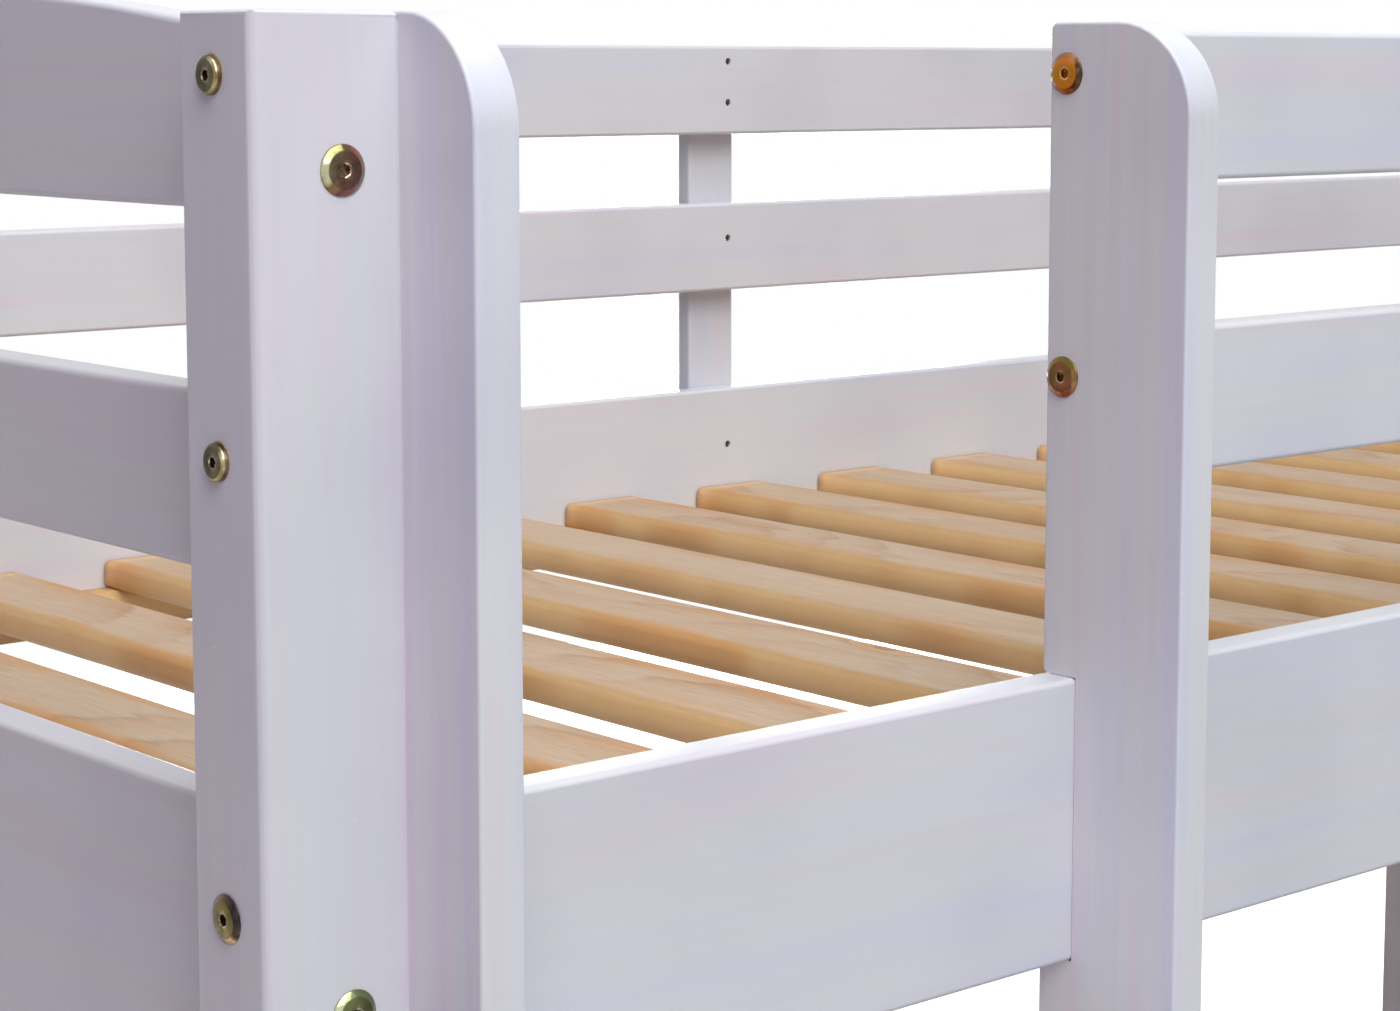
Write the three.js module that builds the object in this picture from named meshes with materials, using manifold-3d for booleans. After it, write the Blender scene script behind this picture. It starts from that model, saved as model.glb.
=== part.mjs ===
// Bunk bed with a straight ladder: four posts, bolted rails, guard boards and slatted bases.
// Millimetres, +Z up, +X along the bed, the ladder on the -Y side, z = 0 on the floor.
import * as THREE from 'three';
import { mergeVertices } from 'three/addons/utils/BufferGeometryUtils.js';
import Module from 'manifold-3d';

const wasm = await Module();
wasm.setup();

// ---- Driving dimensions ----

const INNER_LENGTH = 2045; // between the end boards, for a 2000 mattress
const INNER_WIDTH = 905; // between the side rails, for a 900 mattress

const POST_HEIGHT = 1600;
const POST_WIDTH = 67; // along X
const POST_DEPTH = 54; // along Y
const POST_CORNER = 5; // radius of the upright edges
const POST_JOINT_CORNER = 1.2; // radius of the one edge beside the side rails and the ladder
const POST_END_ROUND = 3; // radius round the top and the foot

const BOARD_THICKNESS = 22; // every rail and board
const BOARD_HEIGHT = 75; // guard boards and end boards
const EDGE_ROUND = 3; // radius along the edges of every rail and board
const RAIL_HEIGHT = 145; // front rails and end rails
const BACK_RAIL_HEIGHT = 132;
const RAIL_SETBACK = 17; // post's outer face to a side rail
const END_SETBACK = 29.5; // post's outer face to an end board

const UPPER_RAIL_DROP = 325; // post top to the top of the upper front rail
const LOWER_RAIL_TOP = 350; // above the floor
const BACK_RAIL_RISE = 27; // a back rail's top above the front rail's
const GUARD_DROP = 4; // post top to the top of the guards
const GUARD_GAP = 74.5; // between the two front guard boards
const BACK_GUARD_GAP = 59; // between the two back guard boards
const END_BOARD_GAP = 97; // lower bunk: end rail to the board above it
const ARCH_SHOULDER = 7; // post top to the arched board's ends
const ARCH_RISE = 28; // arched board's crown above its ends

const SLAT_WIDTH = 75;
const SLAT_THICKNESS = 20;
const SLAT_ROUND = 5;
const SLAT_PITCH = 143; // of the even row
const SLAT_START = 137; // ladder end post's inner face to the middle of the row's first slat
const SLAT_END_GAP = 5; // post's inner face to the end slat
const SLAT_LEAST_GAP = 10; // end slat to the even row
const SLAT_CLEARANCE = 2; // slat end to the side rail
const SLAT_DROP = 57; // front rail's top to the top of the slats
const LEDGER_HEIGHT = 28;
const LEDGER_DEPTH = 20;
const LEDGER_ROUND = 1;
const KEEPER_SIZE = 20; // battens that join the lower slats, just inside the ledgers
const KEEPER_CLEARANCE = 1;

const BATTEN_WIDTH = 50;
const BATTEN_THICKNESS = 16;
const BATTEN_ROUND = 3;
const BATTEN_INSET = 12; // batten's ends inside the guard's top and the rail's foot
const BACK_BATTEN_X = -12; // middle of the bed to the middle of the back guard's batten

const STILE_THICKNESS = 22;
const STILE_PROJECTION = 50; // in front of the posts
const STILE_CORNER = 46; // radius of the top front corner
const STILE_BACK_CORNER = 4;
const STILE_ROUND = 1.5; // radius along the stile's edges
const NOTCH_CLEARANCE = 0.3; // rail to the notch that it lies in
const NOTCH_ROUND = 4; // radius where a notch meets the stile's back edge
const LADDER_OPENING = 394; // between the stiles
const TREAD_COUNT = 4;
const TREAD_THICKNESS = 22;
const TREAD_DEPTH = 60;
const TREAD_INSET = 4; // stile's front edge to the tread
const TREAD_ROUND = 6;

const BORE_CLEARANCE = 0.5; // round a shank
const BORE_SPARE = 3; // past a shank's tip, and before a bore's mouth
const BOLT_BITE = 45; // shank beyond the piece that the head lies on
const STILE_BITE = 15; // shank in the left stile, beyond the post
const HEAD_THICKNESS = 3;
const BIG_BOLT = { shank: 8, head: 20.5, chamfer: 2.2, hex: 5 }; // hex: socket across its flats
const SMALL_BOLT = { shank: 6, head: 15.5, chamfer: 1.4, hex: 4 };
const SOCKET_DEPTH = 2;
const HEX_SIDES = 6;
const TIP_CHAMFER = 1;

const GUARD_BOLT_DROP = 21; // top of a guard board to its bolt
const RAIL_BOLT_DROP = 32; // top of a side rail to its upper bolt
const FRONT_RAIL_BOLT_PITCH = 81; // between a front rail's two bolts
const BACK_RAIL_BOLT_PITCH = 45; // keeps the lower one clear of the end rail's bolt
const END_BOLT_RISE = 17.5; // bottom edge of an end board to its bolt
const TREAD_BOLT_SETBACK = 30; // tread's front edge to its bolt

const SCREW_RECESS = 6.4; // diameter of the sunk hole over a batten's screw
const SCREW_RECESS_DEPTH = 3;
const TOP_SCREW_DROPS = [13, 48]; // top of the guard's top board to its screws
const MIDDLE_SCREW_DROP = 30; // top of the guard's middle board to its screw
const RAIL_SCREW_DROP = 49; // top of the rail to the batten's lowest screw

const EDGE_STEPS = 4; // facets in a rounded edge
const ARC_STEPS = 10; // facets in the stile's corner
const ARCH_STEPS = 16; // facets in the arch
const HOLE_STEPS = 8;
const BOLT_STEPS = 12;
const WELD_DISTANCE = 1e-4; // corners closer than this are one corner

// ---- Derived sizes ----

const LENGTH = INNER_LENGTH + 2 * (END_SETBACK + BOARD_THICKNESS);
const DEPTH = INNER_WIDTH + 2 * (RAIL_SETBACK + BOARD_THICKNESS);
const POST_FACE_X = LENGTH / 2 - POST_WIDTH; // inner face of a post
const BETWEEN_POSTS_X = 2 * POST_FACE_X;
const BETWEEN_POSTS_Y = DEPTH - 2 * POST_DEPTH;
const RAIL_Y = DEPTH / 2 - RAIL_SETBACK - BOARD_THICKNESS / 2; // mid-thickness of a side rail
const END_X = LENGTH / 2 - END_SETBACK - BOARD_THICKNESS / 2; // mid-thickness of an end board
const UPPER_RAIL_TOP = POST_HEIGHT - UPPER_RAIL_DROP;
const GUARD_TOP = POST_HEIGHT - GUARD_DROP;
const GUARD_MIDDLE_TOP = GUARD_TOP - BOARD_HEIGHT - GUARD_GAP;
const BACK_MIDDLE_TOP = GUARD_TOP - BOARD_HEIGHT - BACK_GUARD_GAP;
const STILE_DEPTH = STILE_PROJECTION + RAIL_SETBACK + BOARD_THICKNESS;
const STILE_FRONT_Y = -DEPTH / 2 - STILE_PROJECTION;
const STILE_Y = STILE_FRONT_Y + STILE_DEPTH / 2;
const LEFT_STILE_X = -LENGTH / 2 + POST_WIDTH + STILE_THICKNESS / 2;
const RIGHT_STILE_X = LEFT_STILE_X + STILE_THICKNESS + LADDER_OPENING;
const TREAD_RISE = UPPER_RAIL_TOP / (TREAD_COUNT + 1);
const TREAD_Y = STILE_FRONT_Y + TREAD_INSET + TREAD_DEPTH / 2;

const ENDS = [{ name: 'left', sign: -1 }, { name: 'right', sign: 1 }];
const FRONT = { name: 'front', sign: -1 };
const BACK = { name: 'back', sign: 1 };
const SIDES = [FRONT, BACK];
const UPPER = { name: 'upper', railTop: UPPER_RAIL_TOP };
const LOWER = { name: 'lower', railTop: LOWER_RAIL_TOP };
const LEVELS = [UPPER, LOWER];
const GUARDS = [
  {
    side: FRONT,
    fromX: RIGHT_STILE_X + STILE_THICKNESS / 2,
    toX: POST_FACE_X,
    battenX: (RIGHT_STILE_X + STILE_THICKNESS / 2 + POST_FACE_X) / 2,
    middleTop: GUARD_MIDDLE_TOP,
  },
  {
    side: BACK,
    fromX: -POST_FACE_X,
    toX: POST_FACE_X,
    battenX: BACK_BATTEN_X,
    middleTop: BACK_MIDDLE_TOP,
  },
];

const railTopAt = (level, side) => level.railTop + (side === BACK ? BACK_RAIL_RISE : 0);
const railHeightAt = (side) => (side === BACK ? BACK_RAIL_HEIGHT : RAIL_HEIGHT);
const slatTopAt = (level) => level.railTop - SLAT_DROP;
const treadMiddle = (step) => step * TREAD_RISE - TREAD_THICKNESS / 2;

// ---- Materials ----

const lacquer = () => new THREE.MeshStandardMaterial({ color: 0xd6d4dc, roughness: 0.35, metalness: 0 });
const pine = () => new THREE.MeshStandardMaterial({ color: 0xd2ae82, roughness: 0.6, metalness: 0 });
const zinc = () => new THREE.MeshStandardMaterial({ color: 0xa8935a, roughness: 0.3, metalness: 1 });

// ---- Outlines and solids ----

// Points of an arc, from one angle to another, both ends included.
function arcPoints(cx, cy, radius, from, to, steps) {
  const points = [];
  for (let i = 0; i <= steps; i += 1) {
    const angle = from + ((to - from) * i) / steps;
    points.push(new THREE.Vector2(cx + radius * Math.cos(angle), cy + radius * Math.sin(angle)));
  }
  return points;
}

// A rectangle about the origin with rounded corners; radiusAt gives the radius of the corner
// that lies towards the given signs of x and y.
function roundedRectangle(width, height, radiusAt) {
  const corners = [[1, 1], [-1, 1], [-1, -1], [1, -1]];
  const quarter = Math.PI / 2;
  const points = corners.flatMap(([x, y], i) => {
    const radius = radiusAt(x, y);
    const [cx, cy] = [x * (width / 2 - radius), y * (height / 2 - radius)];
    return arcPoints(cx, cy, radius, i * quarter, (i + 1) * quarter, EDGE_STEPS);
  });
  return new THREE.Shape(points);
}

// A straight piece of timber about the origin, with its long edges rounded.
function timber(axis, length, width, height, radius) {
  return prism(axis, length, roundedRectangle(width, height, () => radius));
}

// An outline drawn out along an axis, about the origin.
function prism(axis, length, shape) {
  const geometry = new THREE.ExtrudeGeometry(shape, { depth: length, bevelEnabled: false });
  return turned(geometry.translate(0, 0, -length / 2), axis);
}

// Turns a solid from its own Z to the named axis: X gets (x, y) as (Y, Z), Y gets (x, y) as (Z, X).
function turned(geometry, axis) {
  const x = new THREE.Vector3(1, 0, 0);
  const y = new THREE.Vector3(0, 1, 0);
  const z = new THREE.Vector3(0, 0, 1);
  const turn = new THREE.Matrix4();
  if (axis === 'X') turn.makeBasis(y, z, x);
  if (axis === 'Y') turn.makeBasis(z, x, y);
  return geometry.applyMatrix4(turn);
}

// A flat plate about the plane of its outline, with its edges rounded on both faces.
function roundedPlate(shape, thickness, radius) {
  const geometry = new THREE.ExtrudeGeometry(shape, {
    depth: thickness - 2 * radius,
    bevelEnabled: true,
    bevelThickness: radius,
    bevelSize: radius,
    bevelOffset: -radius,
    bevelSegments: EDGE_STEPS,
  });
  return geometry.translate(0, 0, radius - thickness / 2);
}

function toManifold(geometry) {
  const bare = geometry.clone();
  bare.deleteAttribute('normal');
  bare.deleteAttribute('uv');
  const merged = mergeVertices(bare, WELD_DISTANCE);
  return new wasm.Manifold(new wasm.Mesh({
    numProp: 3,
    vertProperties: new Float32Array(merged.attributes.position.array),
    triVerts: new Uint32Array(merged.index.array),
  }));
}

function toGeometry(manifold) {
  const mesh = manifold.getMesh();
  const geometry = new THREE.BufferGeometry();
  geometry.setAttribute('position', new THREE.BufferAttribute(mesh.vertProperties, 3));
  geometry.setIndex(new THREE.BufferAttribute(mesh.triVerts, 1));
  geometry.computeVertexNormals();
  return geometry;
}

const cut = (geometry, tools) =>
  toGeometry(tools.reduce((solid, tool) => solid.subtract(toManifold(tool)), toManifold(geometry)));

// ---- Fasteners ----

// Every bolt of the bed: where its head lies, which way its shank runs, and how far.
// The named ones are modelled here; the others leave their bores.
const bolts = [];

function addBolt(kind, seat, inward, through, bite, name) {
  bolts.push({ kind, seat, inward, reach: through + bite, name });
}

// A round hole that runs inward from its mouth.
function boreSolid(mouth, inward, radius, depth) {
  const bore = new THREE.CylinderGeometry(radius, radius, depth + BORE_SPARE, HOLE_STEPS);
  bore.applyQuaternion(alongInward(inward));
  const middle = mouth.clone().addScaledVector(inward, (depth - BORE_SPARE) / 2);
  return bore.translate(middle.x, middle.y, middle.z);
}

const boltBore = (bolt) =>
  boreSolid(bolt.seat, bolt.inward, bolt.kind.shank / 2 + BORE_CLEARANCE, bolt.reach + BORE_SPARE);

const alongInward = (inward) =>
  new THREE.Quaternion().setFromUnitVectors(new THREE.Vector3(0, -1, 0), inward);

// Head up on +Y, seat at the origin, shank down -Y.
function boltSolid(bolt) {
  const { shank, head, chamfer, hex } = bolt.kind;
  const outline = [
    [0, -bolt.reach],
    [shank / 2 - TIP_CHAMFER, -bolt.reach],
    [shank / 2, -bolt.reach + TIP_CHAMFER],
    [shank / 2, 0],
    [head / 2, 0],
    [head / 2, HEAD_THICKNESS / 2],
    [head / 2 - chamfer, HEAD_THICKNESS],
    [0, HEAD_THICKNESS],
  ];
  const body = new THREE.LatheGeometry(outline.map(([r, h]) => new THREE.Vector2(r, h)), BOLT_STEPS);
  const hexRadius = hex / 2 / Math.cos(Math.PI / HEX_SIDES);
  const socket = new THREE.CylinderGeometry(hexRadius, hexRadius, 2 * SOCKET_DEPTH, HEX_SIDES);
  socket.translate(0, HEAD_THICKNESS, 0);
  return cut(body, [socket]);
}

// Guard boards and side rails: the bolts run along X, through the post into the board's end.
function planSideBolts(end, side) {
  const atLadder = end.name === 'left' && side === FRONT;
  const seatAt = (z) => new THREE.Vector3((end.sign * LENGTH) / 2, side.sign * RAIL_Y, z);
  const inward = new THREE.Vector3(-end.sign, 0, 0);
  const guards = [['top', GUARD_TOP], ['middle', side === BACK ? BACK_MIDDLE_TOP : GUARD_MIDDLE_TOP]];
  for (const [row, top] of guards) {
    const seat = seatAt(top - GUARD_BOLT_DROP);
    if (atLadder) addBolt(SMALL_BOLT, seat, inward, POST_WIDTH, STILE_BITE, `bolt_stile_${row}`);
    else addBolt(BIG_BOLT, seat, inward, POST_WIDTH, BOLT_BITE);
  }
  for (const level of LEVELS) {
    const upperBolt = railTopAt(level, side) - RAIL_BOLT_DROP;
    const pitch = side === BACK ? BACK_RAIL_BOLT_PITCH : FRONT_RAIL_BOLT_PITCH;
    const shown = level === UPPER && side === FRONT;
    const name = shown ? `bolt_front_rail_${end.name}` : undefined;
    addBolt(BIG_BOLT, seatAt(upperBolt), inward, POST_WIDTH, BOLT_BITE, name);
    addBolt(BIG_BOLT, seatAt(upperBolt - pitch), inward, POST_WIDTH, BOLT_BITE);
  }
}

// End boards and end rails: the bolts run along Y, through the post into the board's end.
function planEndBolts(end, side) {
  const inward = new THREE.Vector3(0, -side.sign, 0);
  for (const level of LEVELS) {
    const shown = level === UPPER && end.name === 'left' && side === FRONT;
    const rows = [
      [topBoardBottom(level) + END_BOLT_RISE, 'bolt_arched_board'],
      [level.railTop - RAIL_HEIGHT / 2, 'bolt_end_rail'],
    ];
    for (const [z, name] of rows) {
      const seat = new THREE.Vector3(end.sign * END_X, (side.sign * DEPTH) / 2, z);
      addBolt(BIG_BOLT, seat, inward, POST_DEPTH, BOLT_BITE, shown ? name : undefined);
    }
  }
}

// The right stile carries the guard boards, and both stiles carry the treads.
function planLadderBolts() {
  for (const [row, top] of [['top', GUARD_TOP], ['middle', GUARD_MIDDLE_TOP]]) {
    const seat = new THREE.Vector3(RIGHT_STILE_X - STILE_THICKNESS / 2, -RAIL_Y, top - GUARD_BOLT_DROP);
    addBolt(BIG_BOLT, seat, new THREE.Vector3(1, 0, 0), STILE_THICKNESS, BOLT_BITE, `bolt_guard_${row}`);
  }
  for (const [x, outward] of [[LEFT_STILE_X, -1], [RIGHT_STILE_X, 1]]) {
    for (let step = 1; step <= TREAD_COUNT; step += 1) {
      const seat = new THREE.Vector3(
        x + (outward * STILE_THICKNESS) / 2,
        STILE_FRONT_Y + TREAD_INSET + TREAD_BOLT_SETBACK,
        treadMiddle(step),
      );
      addBolt(SMALL_BOLT, seat, new THREE.Vector3(-outward, 0, 0), STILE_THICKNESS, BOLT_BITE);
    }
  }
}

// The screws that hold a guard's batten are driven from the inner faces, and leave a sunk hole there.
const screwRecesses = [];

function planGuardScrews({ side, battenX, middleTop }) {
  const heights = [
    ...TOP_SCREW_DROPS.map((drop) => GUARD_TOP - drop),
    middleTop - MIDDLE_SCREW_DROP,
    railTopAt(UPPER, side) - RAIL_SCREW_DROP,
  ];
  const inward = new THREE.Vector3(0, side.sign, 0);
  for (const z of heights) {
    const mouth = new THREE.Vector3(battenX, (side.sign * INNER_WIDTH) / 2, z);
    screwRecesses.push(boreSolid(mouth, inward, SCREW_RECESS / 2, SCREW_RECESS_DEPTH));
  }
}

// Bottom edge of the highest end board of a bunk.
function topBoardBottom(level) {
  if (level === UPPER) return GUARD_TOP - BOARD_HEIGHT;
  return level.railTop + END_BOARD_GAP + BOARD_HEIGHT + GUARD_GAP;
}

// ---- The bed ----

const bed = new THREE.Group();

// Adds one piece; every bolt that runs into it leaves its bore, and every screw its recess.
function addPiece(name, solid, [x, y, z], material) {
  solid.computeBoundingBox();
  const reach = solid.boundingBox.clone().translate(new THREE.Vector3(x, y, z));
  const bores = [];
  for (const bore of [...bolts.map(boltBore), ...screwRecesses]) {
    bore.computeBoundingBox();
    const overlap = bore.boundingBox.clone().intersect(reach);
    if (!overlap.isEmpty()) bores.push(bore.clone().translate(-x, -y, -z));
  }
  const mesh = new THREE.Mesh(bores.length ? cut(solid, bores) : solid, material());
  mesh.name = name;
  mesh.position.set(x, y, z);
  bed.add(mesh);
}

// A post about its own middle, rounded at its ends too.
function postSolid(end, side) {
  const besideRails = (x, y) => x === -end.sign && y === side.sign;
  const cornerAt = (x, y) => (besideRails(x, y) ? POST_JOINT_CORNER : POST_CORNER);
  const upright = prism('Z', POST_HEIGHT, roundedRectangle(POST_WIDTH, POST_DEPTH, cornerAt));
  const acrossX = timber('X', POST_WIDTH, POST_DEPTH, POST_HEIGHT, POST_END_ROUND);
  const acrossY = timber('Y', POST_DEPTH, POST_HEIGHT, POST_WIDTH, POST_END_ROUND);
  const ends = toManifold(acrossX).intersect(toManifold(acrossY));
  return toGeometry(toManifold(upright).intersect(ends));
}

function addPosts() {
  for (const end of ENDS) {
    for (const side of SIDES) {
      const x = (end.sign * (LENGTH - POST_WIDTH)) / 2;
      const y = (side.sign * (DEPTH - POST_DEPTH)) / 2;
      addPiece(`post_${side.name}_${end.name}`, postSolid(end, side), [x, y, POST_HEIGHT / 2], lacquer);
    }
  }
}

function addSideRails() {
  for (const level of LEVELS) {
    for (const side of SIDES) {
      const height = railHeightAt(side);
      const rail = timber('X', BETWEEN_POSTS_X, BOARD_THICKNESS, height, EDGE_ROUND);
      const railZ = railTopAt(level, side) - height / 2;
      addPiece(`${level.name}_${side.name}_rail`, rail, [0, side.sign * RAIL_Y, railZ], lacquer);

      const ledger = timber('X', BETWEEN_POSTS_X, LEDGER_DEPTH, LEDGER_HEIGHT, LEDGER_ROUND);
      const ledgerY = (side.sign * (INNER_WIDTH - LEDGER_DEPTH)) / 2;
      const ledgerZ = slatTopAt(level) - SLAT_THICKNESS - LEDGER_HEIGHT / 2;
      addPiece(`${level.name}_${side.name}_ledger`, ledger, [0, ledgerY, ledgerZ], pine);
    }
  }
}

// The end board whose top edge is an arc, cut square where it meets the posts.
function archedBoard() {
  const bottom = GUARD_TOP - BOARD_HEIGHT;
  const half = BETWEEN_POSTS_Y / 2;
  const shoulder = POST_HEIGHT - ARCH_SHOULDER - bottom;
  const radius = (half * half + ARCH_RISE * ARCH_RISE) / (2 * ARCH_RISE);
  const over = half + 2 * EDGE_ROUND; // the blank runs past the posts and is trimmed
  const spread = Math.asin(over / radius);
  const centre = shoulder + ARCH_RISE - radius;
  const shape = new THREE.Shape([
    ...arcPoints(centre, 0, radius, spread, -spread, ARCH_STEPS),
    new THREE.Vector2(0, -over),
    new THREE.Vector2(0, over),
  ]);
  const blank = turned(roundedPlate(shape, BOARD_THICKNESS, EDGE_ROUND), 'X');
  blank.applyMatrix4(new THREE.Matrix4().makeRotationX(Math.PI / 2));
  const trim = new THREE.BoxGeometry(2 * BOARD_THICKNESS, BETWEEN_POSTS_Y, 2 * (shoulder + ARCH_RISE));
  return toGeometry(toManifold(blank).intersect(toManifold(trim)));
}

function addEnds() {
  for (const end of ENDS) {
    const x = end.sign * END_X;
    addPiece(`${end.name}_arched_board`, archedBoard(), [x, 0, GUARD_TOP - BOARD_HEIGHT], lacquer);
    const boards = [
      [`upper_${end.name}_middle_board`, GUARD_MIDDLE_TOP - BOARD_HEIGHT],
      [`lower_${end.name}_top_board`, topBoardBottom(LOWER)],
      [`lower_${end.name}_middle_board`, LOWER_RAIL_TOP + END_BOARD_GAP],
    ];
    for (const [name, bottom] of boards) {
      const board = timber('Y', BETWEEN_POSTS_Y, BOARD_HEIGHT, BOARD_THICKNESS, EDGE_ROUND);
      addPiece(name, board, [x, 0, bottom + BOARD_HEIGHT / 2], lacquer);
    }
    for (const level of LEVELS) {
      const rail = timber('Y', BETWEEN_POSTS_Y, RAIL_HEIGHT, BOARD_THICKNESS, EDGE_ROUND);
      addPiece(`${level.name}_${end.name}_end_rail`, rail, [x, 0, level.railTop - RAIL_HEIGHT / 2], lacquer);
    }
  }
}

// Two boards and the upright batten that ties them to the rail, on the outer side of it.
function addGuard({ side, fromX, toX, battenX, middleTop }) {
  const centreX = (fromX + toX) / 2;
  const rows = [['top', GUARD_TOP], ['middle', middleTop]];
  for (const [row, top] of rows) {
    const board = timber('X', toX - fromX, BOARD_THICKNESS, BOARD_HEIGHT, EDGE_ROUND);
    const place = [centreX, side.sign * RAIL_Y, top - BOARD_HEIGHT / 2];
    addPiece(`${side.name}_guard_${row}_board`, board, place, lacquer);
  }
  const foot = railTopAt(UPPER, side) - railHeightAt(side) + BATTEN_INSET;
  const head = GUARD_TOP - BATTEN_INSET;
  const batten = timber('Z', head - foot, BATTEN_WIDTH, BATTEN_THICKNESS, BATTEN_ROUND);
  const battenY = side.sign * (RAIL_Y + (BOARD_THICKNESS + BATTEN_THICKNESS) / 2);
  addPiece(`${side.name}_guard_batten`, batten, [battenX, battenY, (head + foot) / 2], lacquer);
}

// A ladder side, about its own middle: round at the top front, notched over the front rails.
function stileSolid() {
  const front = -STILE_DEPTH / 2;
  const back = STILE_DEPTH / 2;
  const foot = -POST_HEIGHT / 2;
  const top = POST_HEIGHT / 2;
  const quarter = Math.PI / 2;
  const corner = (y, radius, from, steps) => arcPoints(y, top - radius, radius, from, from + quarter, steps);
  const shape = new THREE.Shape([
    new THREE.Vector2(front, foot),
    new THREE.Vector2(back, foot),
    ...corner(back - STILE_BACK_CORNER, STILE_BACK_CORNER, 0, EDGE_STEPS),
    ...corner(front + STILE_CORNER, STILE_CORNER, quarter, ARC_STEPS),
  ]);
  const plate = turned(roundedPlate(shape, STILE_THICKNESS, STILE_ROUND), 'X');
  return cut(plate, LEVELS.map((level) => railNotch(back, level.railTop - RAIL_HEIGHT / 2 - top)));
}

// What a stile loses where a front rail lies in it, with its corners rounded at the back edge.
function railNotch(back, middleZ) {
  const half = RAIL_HEIGHT / 2 + NOTCH_CLEARANCE;
  const round = back - NOTCH_ROUND;
  const behind = back + NOTCH_ROUND;
  const inner = back - BOARD_THICKNESS - NOTCH_CLEARANCE;
  const quarter = Math.PI / 2;
  const shape = new THREE.Shape([
    ...arcPoints(round, half + NOTCH_ROUND, NOTCH_ROUND, 0, -quarter, EDGE_STEPS),
    new THREE.Vector2(inner, half),
    new THREE.Vector2(inner, -half),
    ...arcPoints(round, -half - NOTCH_ROUND, NOTCH_ROUND, quarter, 0, EDGE_STEPS),
    new THREE.Vector2(behind, -half - NOTCH_ROUND),
    new THREE.Vector2(behind, half + NOTCH_ROUND),
  ]);
  return prism('X', 2 * STILE_THICKNESS, shape).translate(0, 0, middleZ);
}

function addLadder() {
  for (const [name, x] of [['left', LEFT_STILE_X], ['right', RIGHT_STILE_X]]) {
    addPiece(`ladder_stile_${name}`, stileSolid(), [x, STILE_Y, POST_HEIGHT / 2], lacquer);
  }
  const middleX = (LEFT_STILE_X + RIGHT_STILE_X) / 2;
  for (let step = 1; step <= TREAD_COUNT; step += 1) {
    const tread = timber('X', LADDER_OPENING, TREAD_DEPTH, TREAD_THICKNESS, TREAD_ROUND);
    addPiece(`ladder_tread_${step}`, tread, [middleX, TREAD_Y, treadMiddle(step)], lacquer);
  }
}

// Middles of the slats along X: an even row, and one more slat close to the posts at each end.
function slatPlaces() {
  const last = BETWEEN_POSTS_X / 2 - SLAT_END_GAP - SLAT_WIDTH / 2;
  const rowEnd = last - SLAT_WIDTH - SLAT_LEAST_GAP;
  const places = [];
  for (let x = SLAT_START - BETWEEN_POSTS_X / 2; x <= rowEnd; x += SLAT_PITCH) places.push(x);
  return [-last, ...places, last];
}

const slat = () =>
  timber('Y', INNER_WIDTH - 2 * SLAT_CLEARANCE, SLAT_THICKNESS, SLAT_WIDTH, SLAT_ROUND);

function addUpperSlats() {
  slatPlaces().forEach((x, i) => {
    const name = `upper_slat_${String(i + 1).padStart(2, '0')}`;
    addPiece(name, slat(), [x, 0, slatTopAt(UPPER) - SLAT_THICKNESS / 2], pine);
  });
}

// The lower slats are one panel, joined by two battens that lie just inside the ledgers.
function addLowerSlats() {
  const places = slatPlaces();
  let panel = toManifold(slat().translate(places[0], 0, 0));
  for (const x of places.slice(1)) panel = panel.add(toManifold(slat().translate(x, 0, 0)));
  const length = places.at(-1) - places[0] + SLAT_WIDTH - 2 * SLAT_ROUND;
  for (const side of SIDES) {
    const keeper = new THREE.BoxGeometry(length, KEEPER_SIZE, KEEPER_SIZE + SLAT_THICKNESS / 2);
    const y = side.sign * (INNER_WIDTH / 2 - LEDGER_DEPTH - KEEPER_CLEARANCE - KEEPER_SIZE / 2);
    keeper.translate(0, y, -(KEEPER_SIZE + SLAT_THICKNESS / 2) / 2);
    panel = panel.add(toManifold(keeper));
  }
  addPiece('lower_slat_panel', toGeometry(panel), [0, 0, slatTopAt(LOWER) - SLAT_THICKNESS / 2], pine);
}

function addNamedBolts() {
  for (const bolt of bolts.filter((one) => one.name)) {
    const mesh = new THREE.Mesh(boltSolid(bolt), zinc());
    mesh.name = bolt.name;
    mesh.position.copy(bolt.seat);
    mesh.quaternion.copy(alongInward(bolt.inward));
    bed.add(mesh);
  }
}

for (const end of ENDS) {
  for (const side of SIDES) {
    planSideBolts(end, side);
    planEndBolts(end, side);
  }
}
planLadderBolts();
GUARDS.forEach(planGuardScrews);
addPosts();
addSideRails();
addEnds();
GUARDS.forEach(addGuard);
addLadder();
addUpperSlats();
addLowerSlats();
addNamedBolts();

// The stiles stand out in front of the posts, so the bed moves back by half of that.
bed.position.y = STILE_PROJECTION / 2;

const model = new THREE.Group();
model.add(bed);

export default model;
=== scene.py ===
"""Looks of a bunk bed with a ladder: white lacquered pine, raw pine slats and yellow zinc bolts.

Metres, +Z up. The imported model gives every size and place; the loose sizes below are those of
the fasteners, the finishes and the studio.
"""

import math
import random

import bmesh
import bpy
import numpy as np
from mathutils import Matrix, Vector


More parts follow.
